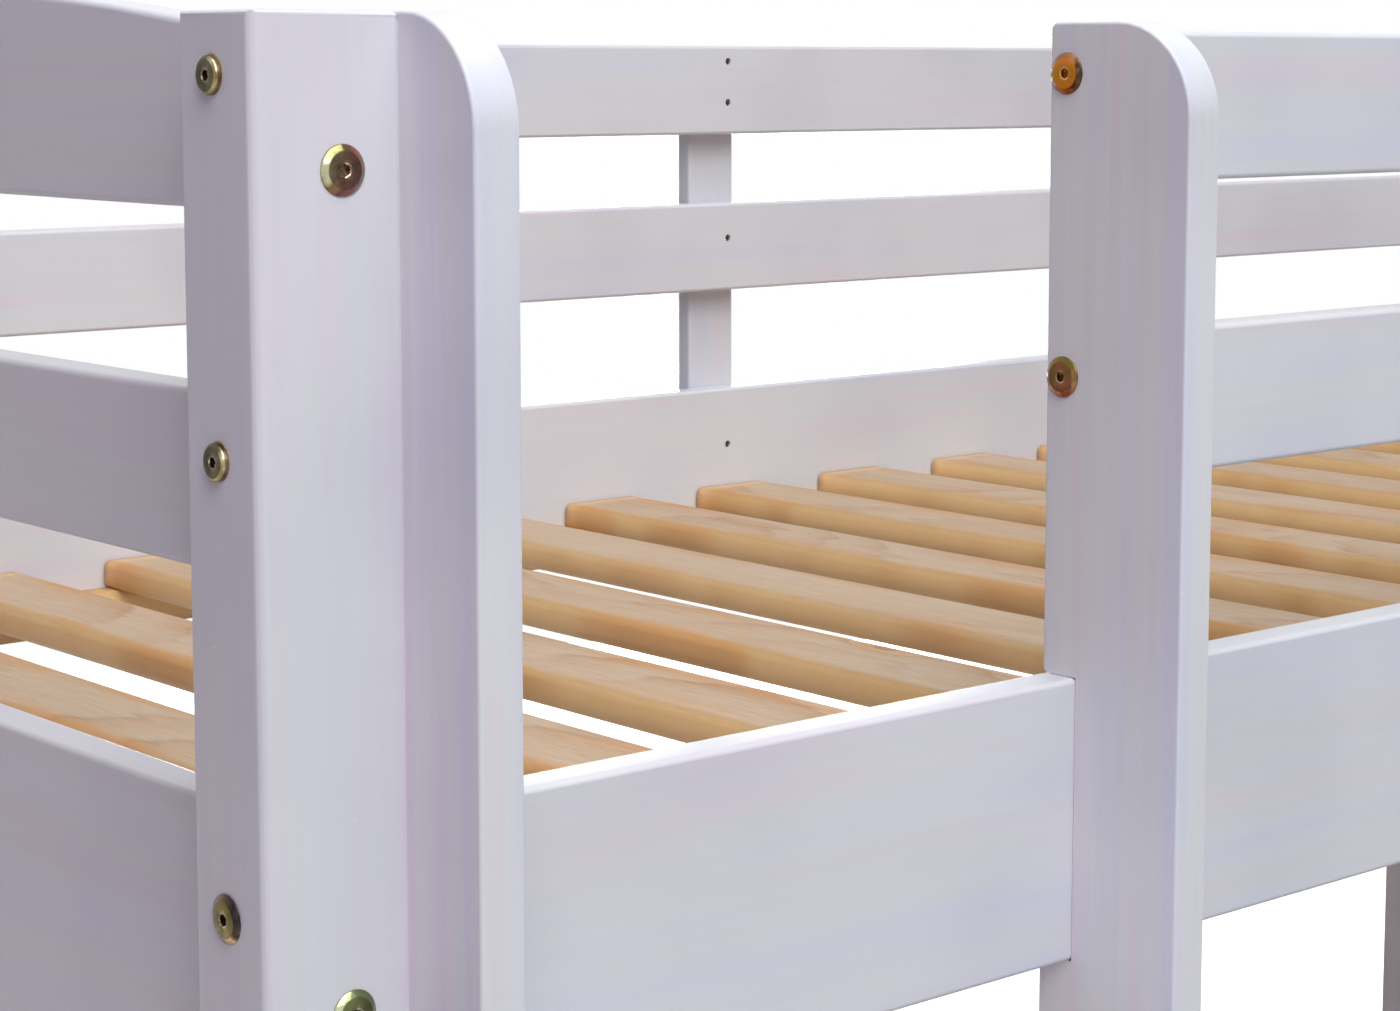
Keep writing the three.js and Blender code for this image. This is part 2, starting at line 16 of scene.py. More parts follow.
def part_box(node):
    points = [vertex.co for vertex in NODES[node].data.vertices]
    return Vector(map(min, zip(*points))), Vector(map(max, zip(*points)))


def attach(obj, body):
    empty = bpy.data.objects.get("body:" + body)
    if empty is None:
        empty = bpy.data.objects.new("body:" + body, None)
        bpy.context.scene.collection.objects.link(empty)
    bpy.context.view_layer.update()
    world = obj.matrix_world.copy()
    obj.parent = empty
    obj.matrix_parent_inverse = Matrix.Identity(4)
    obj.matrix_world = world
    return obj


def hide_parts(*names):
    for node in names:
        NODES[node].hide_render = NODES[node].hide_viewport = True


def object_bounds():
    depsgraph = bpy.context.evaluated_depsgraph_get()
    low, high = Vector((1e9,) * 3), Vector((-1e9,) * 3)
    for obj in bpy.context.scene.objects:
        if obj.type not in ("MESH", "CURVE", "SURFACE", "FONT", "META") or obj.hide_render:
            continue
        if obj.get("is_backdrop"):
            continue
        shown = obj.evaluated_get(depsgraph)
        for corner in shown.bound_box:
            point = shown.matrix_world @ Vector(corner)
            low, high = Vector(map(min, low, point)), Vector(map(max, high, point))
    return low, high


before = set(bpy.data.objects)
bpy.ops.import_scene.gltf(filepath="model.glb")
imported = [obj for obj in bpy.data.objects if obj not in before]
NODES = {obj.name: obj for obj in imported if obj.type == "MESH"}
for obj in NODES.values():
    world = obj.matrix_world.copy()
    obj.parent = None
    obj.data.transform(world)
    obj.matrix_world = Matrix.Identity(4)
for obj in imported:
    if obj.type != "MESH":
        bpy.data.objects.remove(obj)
CAD_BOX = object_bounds()

# ---- Sizes ----

# Heads: diameter, thickness, upright rim, and what share of the radius is the flat face.
BIG = {"shank": 0.008, "head": 0.0205, "thickness": 0.0023, "rim": 0.0007, "face": 0.73, "hex": 0.0046,
       "socket": 0.003}
SMALL = {"shank": 0.006, "head": 0.0155, "thickness": 0.0031, "rim": 0.0016, "face": 0.80, "hex": 0.004,
         "socket": 0.003}
SCREW = {"shank": 0.0035, "head": 0.0058, "thickness": 0.0012, "rim": 0.0006, "face": 0.8, "hex": 0.0025,
         "socket": 0.001}
SOCKET_RIM = 1.45  # in shares of the socket's half width: where the face starts to turn in,
SOCKET_CHAMFER = 1.12  # its chamfer
SOCKET_POINT = 0.25  # and the drilled point at its bottom
SOCKET_POINT_DROP = 0.0003
SCREW_SUNK = 0.0028  # board's face to the screw's seat
SCREW_REACH = 0.03
EDGE_BREAK = 0.00018  # the small radius on every metal edge
ROUND_STEPS = 5  # facets of a small head's rounded shoulder
SCUFF_INNER = 0.5  # share of the head's radius
SCUFF_LIFT = 0.00012
SCUFF_SPREAD = 0.0002
SCUFF_SHIFT = Vector((0.0, -0.0004, 0.0005))  # from the bolt's axis, on the post's outer face
TIP_CHAMFER = 0.001
BOLT_BITE = 0.045  # shank beyond the piece that the head lies on
STILE_BITE = 0.015  # shank in the left stile, beyond the post
HEAD_TILT = 0.9  # degrees
SEED = 20
LATHE_STEPS = 48

GUARD_BOLT_DROP = 0.021  # top of a guard board to its bolt
RAIL_BOLT_DROP = 0.032  # top of a side rail to its upper bolt
RAIL_BOLT_PITCH = {"front": 0.081, "back": 0.045}
END_BOLT_RISE = 0.0175  # bottom edge of an end board to its bolt
TREAD_BOLT_SETBACK = 0.030  # tread's front edge to its bolt
TOP_SCREW_DROPS = (0.013, 0.048)  # top of the guard's top board to its screws
MIDDLE_SCREW_DROP = 0.030  # top of the guard's middle board to its screw
RAIL_SCREW_DROP = 0.049  # top of the rail to the batten's lowest screw

BEAD = 0.0007  # the filled corner between a post and a ladder's side
BEAD_PROUD = 0.00005  # how far it stands in front of the post
BEAD_END = 0.004  # bead's ends inside the post's
SMOOTH_LIMIT = 40  # degrees; a sharper edge stays sharp
WELD_STEPS = 1e5  # steps in a metre; corners on the same step are one corner
SEAT_SLACK = 0.001  # how far a computed seat may lie outside its packed bolt
SLAT_SLACK = 0.001  # within this of an end slat's side, a face is the end slat's
UNDERSIDE_SLACK = 0.0005  # below a slat's underside by this, a face is a keeper's
LEDGER_PITCH = 0.4
END_SLOT = 1  # a slat node's materials: the even row's first, the end slats' and the keepers'
KEEPER_SLOT = 2
MIDDLE_SLAT = "upper_slat_08"

CAMERA_FROM_POST = Vector((-0.587, -0.9455, -0.022))  # from the near post's outer top corner
CAMERA_YAW = 40.56  # degrees, from +Y towards +X
CAMERA_PITCH = -6.53
CAMERA_LENS = 74.86  # millimetres
CAMERA_SENSOR = 36  # millimetres
CAMERA_SHIFT = -0.075


# ---- Node trees ----

class Graph:
    """One material's node tree. Every input takes a number, a colour or another node's socket."""

    def __init__(self, name):
        self.material = bpy.data.materials.new(name)
        self.material.use_nodes = True
        self.tree = self.material.node_tree
        self.shader = self.tree.nodes["Principled BSDF"]

    def feed(self, socket, value):
        if isinstance(value, bpy.types.NodeSocket):
            self.tree.links.new(value, socket)
        else:
            socket.default_value = value

    def node(self, kind, inputs, **settings):
        made = self.tree.nodes.new("ShaderNode" + kind)
        for key, value in settings.items():
            setattr(made, key, value)
        for key, value in inputs.items():
            self.feed(made.inputs[key], value)
        return made

    def math(self, operation, first, second=0.0):
        return self.node("Math", {0: first, 1: second}, operation=operation).outputs[0]

    def length(self, vector):
        return self.node("VectorMath", {0: vector}, operation="LENGTH").outputs["Value"]

    def luck(self, vector):
        """Three random numbers between 0 and 1 for each vector."""
        made = self.node("TexWhiteNoise", {"Vector": vector}, noise_dimensions="3D")
        return self.split(made.outputs["Color"])

    def coordinates(self):
        return self.node("TexCoord", {}).outputs["Object"]

    def split(self, vector):
        return self.node("SeparateXYZ", {0: vector}).outputs

    def join(self, x, y, z):
        return self.node("CombineXYZ", {0: x, 1: y, 2: z}).outputs[0]

    def stretch(self, vector, scale):
        return self.node("Mapping", {"Vector": vector, "Scale": scale}).outputs[0]

    def noise(self, vector, scale, detail=2.0, roughness=0.5):
        inputs = {"Vector": vector, "Scale": scale, "Detail": detail, "Roughness": roughness}
        return self.node("TexNoise", inputs).outputs["Fac"]

    def remap(self, value, low, high, to_low=0.0, to_high=1.0):
        inputs = {"Value": value, "From Min": low, "From Max": high, "To Min": to_low, "To Max": to_high}
        return self.node("MapRange", inputs, interpolation_type="SMOOTHSTEP").outputs[0]

    def mix(self, factor, first, second, blend="MIX"):
        inputs = {0: factor, 6: first, 7: second}
        return self.node("Mix", inputs, data_type="RGBA", blend_type=blend).outputs[2]

    def ramp(self, factor, stops):
        made = self.node("ValToRGB", {"Fac": factor})
        elements = made.color_ramp.elements
        while len(elements) < len(stops):
            elements.new(1.0)
        for element, (position, colour) in zip(elements, stops):
            element.position = position
            element.color = (*colour, 1)
        return made.outputs["Color"]

    def rounded(self, radius, samples):
        """The surface's normal, turned gradually over a radius at each edge."""
        return self.node("Bevel", {"Radius": radius}, samples=samples).outputs[0]

    def bump(self, height, distance, strength, normal=None):
        inputs = {"Height": height, "Distance": distance, "Strength": strength}
        if normal is not None:
            inputs["Normal"] = normal
        return self.node("Bump", inputs).outputs[0]

    def finish(self, **inputs):
        for key, value in inputs.items():
            self.feed(self.shader.inputs[key.replace("_", " ").title().replace("Ior", "IOR")], value)
        return self.material


def rgb(colour):
    return (*colour, 1)


# ---- Materials ----

LACQUER = (0.690, 0.682, 0.732)
LACQUER_PINK = (0.712, 0.656, 0.716)
LACQUER_GREEN = (0.688, 0.696, 0.712)
LACQUER_BLUE = (0.660, 0.666, 0.760)
LACQUER_SPECK = (0.86, 0.85, 0.87)
# Lighter lacquer along the edges: partly wear, partly a painted highlight.
LACQUER_EDGE_SHEEN = (0.76, 0.755, 0.785)
EDGE_WIDTH = 0.0015
EDGE_SAMPLES = 4
EDGE_WEAR_AND_SHEEN = 0.3
LADDER_STREAKS = 2.0
# The stiles' lacquer is made this much lighter: painted light.
LADDER_PAINTED_LIGHT = 1.05

GRAIN_RATE = 0.045  # how fast the lacquer's bands change along the grain; across it the rate is 1
GRAIN_STRETCH = {"X": (GRAIN_RATE, 1, 1), "Y": (1, GRAIN_RATE, 1), "Z": (1, 1, GRAIN_RATE)}


def lacquer_colour(g, place, band, fibre, streaks, level):
    """Cool white with broad faint bands of hue along the grain, and bluer clouds; a level above 1 is
    painted light.
    """
    cloud = g.noise(place, 6, 2)
    hue = g.ramp(band, [(0.32, LACQUER_BLUE), (0.45, LACQUER), (0.54, LACQUER_GREEN), (0.64, LACQUER_PINK)])
    base = g.mix(g.remap(cloud, 0.3, 0.7, 0.45 * streaks, 0.8 * streaks), rgb(LACQUER), hue)
    base = g.mix(g.remap(fibre, 0.35, 0.75, 0.0, 0.05 * streaks), base, rgb(LACQUER_PINK), "MULTIPLY")
    base = g.mix(g.remap(cloud, 0.42, 0.70, 0.0, 0.20), base, rgb(LACQUER_BLUE), "MULTIPLY")
    return g.mix(1.0, base, rgb((level, level, level)), "MULTIPLY")


def dust_specks(g, place):
    """1 on a few small specks in the lacquer, and 0 elsewhere."""
    specks = g.node("TexVoronoi", {"Vector": place, "Scale": 95.0})
    luck = g.split(specks.outputs["Color"])
    size = g.remap(luck[1], 0, 1, 0.015, 0.05)
    near = g.math("LESS_THAN", specks.outputs["Distance"], size)
    return g.math("MULTIPLY", near, g.remap(luck[0], 0.955, 0.965))


def edge_wear_and_highlight(g, place):
    """Up to 1 along a piece's edges, in patches: where the lacquer is worn thin, and where a painted
    highlight lightens it.
    """
    flat = g.node("NewGeometry", {}).outputs["Normal"]
    inputs = {0: g.rounded(EDGE_WIDTH, EDGE_SAMPLES), 1: flat}
    facing = g.node("VectorMath", inputs, operation="DOT_PRODUCT").outputs["Value"]
    return g.math("MULTIPLY", g.remap(facing, 0.995, 0.93), g.remap(g.noise(place, 60), 0.35, 0.6))


def lacquer(grain, streaks=1.0, wear_and_sheen=EDGE_WEAR_AND_SHEEN, level=1.0):
    """Satin lacquer over planed pine: the grain shows only as broad faint bands of hue."""
    g = Graph(f"white_lacquer_{grain.lower()}_{round(streaks * 10)}_{round(wear_and_sheen * 10)}")
    place = g.coordinates()
    along = g.stretch(place, GRAIN_STRETCH[grain])
    band = g.noise(along, 44, 2, 0.4)
    fibre = g.noise(along, 150, 2, 0.5)
    fine = g.noise(along, 480, 2, 0.6)
    speck = dust_specks(g, place)

    base = lacquer_colour(g, place, band, fibre, streaks, level)
    base = g.mix(speck, base, rgb(LACQUER_SPECK))
    # edges lightened in patches: partly wear, partly a painted highlight
    base = g.mix(g.math("MULTIPLY", edge_wear_and_highlight(g, place), wear_and_sheen), base, rgb(LACQUER_EDGE_SHEEN))

    rough = g.math("ADD", g.remap(band, 0.3, 0.7, 0.29, 0.35), g.remap(fine, 0.3, 0.7, -0.015, 0.02))
    normal = g.bump(fibre, 0.00025, 0.10)
    normal = g.bump(g.noise(place, 230, 1), 0.0006, 0.06, normal)
    normal = g.bump(speck, 0.0002, 0.6, normal)
    return g.finish(base_color=base, roughness=rough, normal=normal, specular_ior_level=0.28,
                    coat_weight=0.08, coat_roughness=0.14)


PINE_PALE = (0.580, 0.440, 0.315)
PINE_EARLY = (0.545, 0.395, 0.260)
PINE_LATE = (0.460, 0.275, 0.130)
PINE_DARK = (0.360, 0.180, 0.075)
# Ochre on the slats' rounded edges and sides: painted warm bounce light.
PINE_OCHRE_BOUNCE = (0.580, 0.370, 0.155)
PINE_FLAME = (0.560, 0.255, 0.075)
# A lighter, warmer colour on a slat's sides: painted light.
PINE_SIDE_LIGHT = (0.900, 0.590, 0.280)
# Painted light on the back end of each slat.
PINE_END_LIT = (0.800, 0.500, 0.250)
PINE_KNOT = (0.170, 0.075, 0.035)
PINE_TAN = (0.80, 0.66, 0.48)
KNOT_SPACING = 0.37
KNOT_WIDTH = 0.55  # a knot's width as a share of its length
BOARD_SEED = 0.37  # not a whole number, so that boards and knots draw different luck
BOARD_SHIFT = 7.0  # boards begin at most this far apart in the pattern
FIBRE_RATE = 0.06  # how fast the pattern changes along the grain; across it the rate is 1
FACE_HALF = 0.027  # middle of a board to where the painted ochre bounce light starts on its face
SOFT_EDGE = 0.016  # how far a slat's sanded edge softens its shading
SOFT_SAMPLES = 6
END_PAINTED_LIGHT = 0.022  # a slat is brighter over this much of its back end, by painted light


class Boards:
    """Where a point lies in a row of equal boards: its board, and how far along, across and up in it."""

    def __init__(self, g, grain, pitch, start, rise):
        x, y, z = g.split(g.coordinates())
        self.lengthwise, across = (y, x) if grain == "Y" else (x, y)
        across = g.math("SUBTRACT", across, start)
        self.number = g.math("ROUND", g.math("DIVIDE", across, pitch))
        self.level = g.math("ROUND", g.math("DIVIDE", z, rise))
        self.luck = g.luck(g.join(self.number, self.level, BOARD_SEED))
        self.across = g.math("SUBTRACT", across, g.math("MULTIPLY", self.number, pitch))
        self.along = g.math("ADD", self.lengthwise, g.math("MULTIPLY", self.luck[2], BOARD_SHIFT))
        self.height = g.math("SUBTRACT", z, g.math("MULTIPLY", self.level, rise))
        slowly = g.math("MULTIPLY", self.along, FIBRE_RATE)
        self.fibres = g.join(slowly, g.math("ADD", self.across, self.number), self.height)


def nearest_knot(g, boards):
    """Distance to the nearest place for a knot, and 1 where there is a knot."""
    cell = g.math("FLOOR", g.math("DIVIDE", boards.along, KNOT_SPACING))
    luck = g.luck(g.join(boards.number, cell, boards.level))
    in_cell = g.math("SUBTRACT", g.math("DIVIDE", boards.along, KNOT_SPACING), cell)
    along = g.math("SUBTRACT", in_cell, g.remap(luck[1], 0, 1, 0.3, 0.7))
    along = g.math("MULTIPLY", along, KNOT_SPACING)
    across = g.math("SUBTRACT", boards.across, g.remap(luck[2], 0, 1, -0.030, 0.030))
    distance = g.length(g.join(g.math("MULTIPLY", along, KNOT_WIDTH), across, 0))
    return distance, g.remap(luck[0], 0.79, 0.81)


def year_ring(g, boards, distance, present):
    """From 0 to 1 through each year's wood, round a pith that sways under the board."""
    bend = g.noise(g.join(g.math("MULTIPLY", boards.along, 1.6), boards.number, boards.level), 1.0, 1)
    sway = g.noise(g.join(g.math("MULTIPLY", boards.along, 0.9), boards.number, 5.2), 1.0, 1)
    pith = g.math("ADD", g.remap(boards.luck[0], 0, 1, -0.05, 0.05), g.remap(sway, 0, 1, -0.03, 0.03))
    depth = g.math("ADD", g.remap(boards.luck[1], 0, 1, 0.05, 0.12), g.remap(bend, 0, 1, -0.04, 0.04))
    radius = g.length(g.join(g.math("ADD", boards.across, pith), g.math("ADD", boards.height, depth), 0))
    swirl = g.math("MULTIPLY", g.remap(distance, 0.035, 0.0, 0.0, 0.012), present)
    ripple = g.remap(g.noise(boards.fibres, 70, 3), 0, 1, -0.002, 0.002)
    radius = g.math("ADD", g.math("ADD", radius, swirl), ripple)
    width = g.remap(boards.luck[2], 0, 1, 0.006, 0.013)
    return g.math("FRACT", g.math("DIVIDE", radius, width))


def pine_face(g, boards, ring, fibre):
    """Soft rings on pale wood, with painted warm bounce light in ochre towards a board's sides."""
    rings = g.ramp(ring, [(0.0, PINE_PALE), (0.40, PINE_EARLY), (0.78, PINE_LATE), (0.90, PINE_DARK),
                          (1.0, PINE_PALE)])
    strength = g.remap(g.noise(boards.fibres, 14, 2), 0.35, 0.7, 0.20, 0.75)
    tone = g.mix(strength, rgb(PINE_PALE), rings)
    outward = g.math("ABSOLUTE", boards.across)
    waver = g.remap(g.noise(boards.fibres, 9, 2), 0.3, 0.7, -0.006, 0.006)
    at_edge = g.remap(g.math("ADD", outward, waver), FACE_HALF, FACE_HALF + 0.010)
    # painted warm bounce light towards the board's sides
    tone = g.mix(g.math("MULTIPLY", at_edge, 0.8), tone, rgb(PINE_OCHRE_BOUNCE))
    tone = g.mix(g.remap(fibre, 0.30, 0.75, 0.0, 0.22), tone, rgb(PINE_LATE), "MULTIPLY")
    return g.mix(g.remap(boards.luck[0], 0, 1, 0.0, 0.25), tone, rgb(PINE_TAN), "MULTIPLY")


def pine_knots(g, tone, distance, present):
    """Dark knots with a flame-coloured halo."""
    halo = g.math("MULTIPLY", g.remap(distance, 0.016, 0.006), present)
    tone = g.mix(g.math("MULTIPLY", halo, 0.5), tone, rgb(PINE_FLAME))
    knot = g.math("MULTIPLY", g.remap(distance, 0.0062, 0.0040), present)
    return g.mix(g.math("MULTIPLY", knot, 0.8), tone, rgb(PINE_KNOT))


def pine_lit_sides_and_flames(g, tone, boards, soft):
    """Painted light as a lighter, warmer colour on a board's sides, and flames of warmer wood on the face.
    """
    # painted light where the softened normal turns sideways
    lit_side = g.remap(g.split(soft)[2], 0.85, 0.35, 0.0, 0.75)
    tone = g.mix(lit_side, tone, rgb(PINE_SIDE_LIGHT))
    flame_place = g.join(g.math("MULTIPLY", boards.along, 4.0), boards.number,
                         g.math("MULTIPLY", boards.across, 26.0))
    flame = g.remap(g.noise(flame_place, 1.6, 2), 0.46, 0.64)
    reach = g.remap(g.math("ABSOLUTE", boards.across), 0.010, 0.030, 0.05, 0.62)
    return g.mix(g.math("MULTIPLY", flame, reach), tone, rgb(PINE_FLAME))


def pine(name, grain, pitch, start, rise):
    """Raw pine in boards that lie a pitch apart: pale faces, ochre edges, a few knots and soft rings."""
    g = Graph(name)
    boards = Boards(g, grain, pitch, start, rise)
    distance, present = nearest_knot(g, boards)
    ring = year_ring(g, boards, distance, present)
    fibre = g.noise(boards.fibres, 800, 2, 0.7)
    soft = g.rounded(SOFT_EDGE, SOFT_SAMPLES)

    tone = pine_face(g, boards, ring, fibre)
    tone = pine_knots(g, tone, distance, present)
    tone = pine_lit_sides_and_flames(g, tone, boards, soft)
    if grain == "Y":
        # painted light: a lighter, warmer back end on each slat
        end = high(MIDDLE_SLAT).y
        tone = g.mix(g.remap(boards.lengthwise, end - END_PAINTED_LIGHT, end, 0.0, 0.7), tone, rgb(PINE_END_LIT))

    rough = g.remap(g.noise(boards.fibres, 200, 2), 0.3, 0.7, 0.48, 0.62)
    normal = g.bump(ring, 0.0001, 0.25, soft)
    normal = g.bump(fibre, 0.0002, 0.45, normal)
    return g.finish(base_color=tone, roughness=rough, normal=normal)


# Each film of zinc has two face colours, from dark to light, and the colours met on the shoulder in
# one turn of the head: from the left round by the bottom, the right and the top. The shoulder's
# colours are partly the film's own hues and partly painted glints and reflections.
ZINC_TONES = {
    "olive": {
        "face": ((0.026, 0.022, 0.012), (0.062, 0.052, 0.028)),
        "ring": ((0.00, (0.05, 0.04, 0.02)), (0.28, (0.13, 0.10, 0.05)), (0.40, (0.30, 0.23, 0.10)),
                 (0.50, (0.17, 0.13, 0.06)), (0.61, (0.50, 0.43, 0.27)), (0.72, (0.12, 0.10, 0.05)),
                 (1.00, (0.05, 0.04, 0.02))),
    },
    "bronze": {
        "face": ((0.062, 0.050, 0.010), (0.135, 0.098, 0.024)),
        "ring": ((0.00, (0.14, 0.12, 0.05)), (0.25, (0.20, 0.13, 0.05)), (0.36, (0.60, 0.36, 0.20)),
                 (0.44, (0.05, 0.04, 0.03)), (0.60, (0.02, 0.018, 0.018)), (0.80, (0.12, 0.08, 0.05)),
                 (1.00, (0.14, 0.12, 0.05))),
    },
    "rose": {
        "face": ((0.075, 0.045, 0.030), (0.155, 0.085, 0.062)),
        # little painted shade in this socket
        "socket": 0.1,
        "ring": ((0.00, (0.42, 0.42, 0.27)), (0.10, (0.12, 0.09, 0.025)), (0.24, (0.34, 0.13, 0.12)),
                 (0.42, (0.30, 0.19, 0.15)), (0.52, (0.22, 0.20, 0.11)), (0.64, (0.56, 0.19, 0.16)),
                 (0.76, (0.20, 0.17, 0.08)), (0.88, (0.18, 0.19, 0.07)), (1.00, (0.42, 0.42, 0.27))),
    },
    "amber": {
        "face": ((0.400, 0.190, 0.004), (0.520, 0.150, 0.020)),
        "ring": ((0.00, (0.26, 0.07, 0.03)), (0.25, (0.34, 0.09, 0.02)), (0.42, (0.07, 0.04, 0.02)),
                 (0.55, (0.06, 0.04, 0.02)), (0.66, (0.44, 0.20, 0.08)), (0.82, (0.22, 0.10, 0.05)),
                 (1.00, (0.26, 0.07, 0.03))),
    },
    "maroon": {
        "face": ((0.130, 0.080, 0.022), (0.230, 0.085, 0.045)),
        "ring": ((0.00, (0.20, 0.08, 0.05)), (0.22, (0.44, 0.16, 0.12)), (0.40, (0.24, 0.10, 0.06)),
                 (0.60, (0.14, 0.11, 0.03)), (0.80, (0.16, 0.11, 0.03)), (1.00, (0.20, 0.08, 0.05))),
    },
    "green": {
        "face": ((0.085, 0.090, 0.034), (0.150, 0.160, 0.062)),
        "ring": ((0.00, (0.48, 0.52, 0.36)), (0.25, (0.13, 0.14, 0.05)), (0.50, (0.18, 0.24, 0.10)),
                 (0.72, (0.27, 0.34, 0.16)), (0.90, (0.30, 0.34, 0.16)), (1.00, (0.48, 0.52, 0.36))),
    },
}
ZINC_WORN = (0.78, 0.70, 0.50)
ZINC_SOCKET_SHADE = (0.030, 0.024, 0.014)
SOCKET_SHADE = 0.65  # how much painted shade darkens a socket's inside, where its film doesn't say
TORN_WOOD = ((0.35, (0.28, 0.17, 0.10)), (0.5, (0.46, 0.29, 0.17)), (0.65, (0.55, 0.44, 0.34)))


def zinc_film_and_glints(g, colours, place, marks):
    """Colours of the film: round the shoulder, where painted glints and reflections join its hues, and on
    the face, which is dark and marked.
    """
    x, y = g.split(place)[:2]
    drift = g.noise(place, 190, 2)
    turn = g.math("ADD", g.math("DIVIDE", g.math("ARCTAN2", y, x), 2 * math.pi), 0.5)
    turn = g.math("ADD", turn, g.remap(drift, 0.25, 0.75, -0.05, 0.05))
    # the film's hues with painted glints and reflections round the shoulder
    film = g.ramp(turn, colours["ring"])
    dark, light = colours["face"]
    face = g.mix(g.remap(drift, 0.35, 0.65), rgb(dark), rgb(light))
    face = g.mix(0.14, face, film)
    return film, g.mix(g.remap(marks, 0.50, 0.75, 0.0, 0.5), face, rgb(dark))


def socket_wear(g, place, out, hole):
    """Up to 1 where a key has worn the film off: in specks round a socket, and on its rim."""
    around = g.remap(out, hole * 2.1, hole * 1.2)
    scuffs = g.math("MULTIPLY", g.remap(g.noise(place, 2300, 2), 0.60, 0.66), around)
    rim = g.math("MULTIPLY", g.remap(out, hole * 1.42, hole * 1.3), g.remap(out, hole * 0.98, hole * 1.05))
    rim = g.math("MULTIPLY", rim, g.remap(g.noise(place, 420, 1), 0.45, 0.60, 0.05, 0.4))
    return g.math("MAXIMUM", g.math("MULTIPLY", scuffs, 0.6), rim)


def zinc(tone, kind):
    """Yellow chromated zinc: a dark dull face, a shoulder with painted glints and reflections, and a socket
    worn bright at its rim and darkened inside by painted shade.
    """
    g = Graph(f"yellow_zinc_{tone}_{round(kind['head'] * 1e4)}")
    colours = ZINC_TONES[tone]
    place = g.coordinates()
    x, y = g.split(place)[:2]
    out = g.length(g.join(x, y, 0))
    marks = g.noise(place, 1500, 2, 0.7)
    film, face = zinc_film_and_glints(g, colours, place, marks)
    edge = kind["head"] / 2 * kind["face"]
    on_face = g.remap(out, edge + 0.0003, edge - 0.0001)
    colour = g.mix(on_face, film, face)

    hole = kind["hex"] / 2
    colour = g.mix(socket_wear(g, place, out, hole), colour, rgb(ZINC_WORN))
    # painted shade inside the socket
    shade_inside = g.remap(out, hole * 1.02, hole * 0.94, 0.0, colours.get("socket", SOCKET_SHADE))
    colour = g.mix(shade_inside, colour, rgb(ZINC_SOCKET_SHADE))

    rough = g.math("ADD", g.remap(on_face, 0, 1, 0.17, 0.32), g.remap(marks, 0.3, 0.7, -0.03, 0.05))
    normal = g.bump(marks, 0.00006, 0.35)
    return g.finish(base_color=colour, metallic=1.0, roughness=rough, normal=normal)


def bare_wood():
    """Crushed wood and torn lacquer where a bolt's head has been tightened."""
    g = Graph("bare_wood")
    place = g.coordinates()
    torn = g.noise(place, 700, 3, 0.7)
    tone = g.ramp(torn, TORN_WOOD)
    return g.finish(base_color=tone, roughness=0.7, normal=g.bump(torn, 0.0003, 0.6))


# ---- Meshes ----

def smooth_corners(node):
    """Gives a faceted node's corners the normals of its true rounded surface; no vertex moves."""
    mesh = node.data
    for polygon in mesh.polygons:
        polygon.use_smooth = True
    areas = np.array([polygon.area for polygon in mesh.polygons])
    normals = np.array([polygon.normal for polygon in mesh.polygons])
    limit = math.cos(math.radians(SMOOTH_LIMIT))
    around = {}
    corners = []
    for polygon in mesh.polygons:
        for vertex in polygon.vertices:
            key = tuple(round(value * WELD_STEPS) for value in mesh.vertices[vertex].co)
            around.setdefault(key, []).append(polygon.index)
            corners.append((key, polygon.index))
    result = []
    for key, face in corners:
        near = [other for other in around[key] if normals[other] @ normals[face] > limit]
        total = (normals[near] * areas[near, None]).sum(axis=0)
        result.append(total / np.linalg.norm(total))
    mesh.normals_split_custom_set(result)


def hexagon(angle):
    """Radius of a hexagon of unit apothem in one direction."""
    return 1 / math.cos((angle + math.pi / 6) % (math.pi / 3) - math.pi / 6)


def circle(angle):
    """Radius of a unit circle, the same in every direction."""
    return 1.0


def turned_mesh(name, rings):
    """A solid of revolution, closed at both ends; each ring is an outline, a radius and a height."""
    made = bmesh.new()
    loops = []
    for outline, radius, height in rings:
        angles = [2 * math.pi * step / LATHE_STEPS for step in range(LATHE_STEPS)]
        loops.append([
            made.verts.new((radius * outline(a) * math.cos(a), radius * outline(a) * math.sin(a), height))
            for a in angles
        ])
    for lower, upper in zip(loops, loops[1:]):
        for step in range(LATHE_STEPS):
            following = (step + 1) % LATHE_STEPS
            made.faces.new((lower[step], lower[following], upper[following], upper[step]))
    made.faces.new(loops[0][::-1])
    made.faces.new(loops[-1])
    mesh = bpy.data.meshes.new(name)
    made.to_mesh(mesh)
    made.free()
    mesh.shade_smooth()
    mesh.set_sharp_from_angle(angle=math.radians(SMOOTH_LIMIT))
    return mesh


def shoulder(kind):
    """Radii and heights from the top of a head's upright rim to its flat face."""
    edge = kind["head"] / 2
    inner = edge * kind["face"]
    base = kind["rim"]
    rise = kind["thickness"] - base
    if kind is BIG:
        return [(edge - EDGE_BREAK, base + EDGE_BREAK / 2), (inner + EDGE_BREAK, base + rise - EDGE_BREAK)]
    angles = [math.pi / 2 * step / ROUND_STEPS for step in range(1, ROUND_STEPS)]
    return [(inner + (edge - inner) * math.cos(a), base + rise * math.sin(a)) for a in angles]


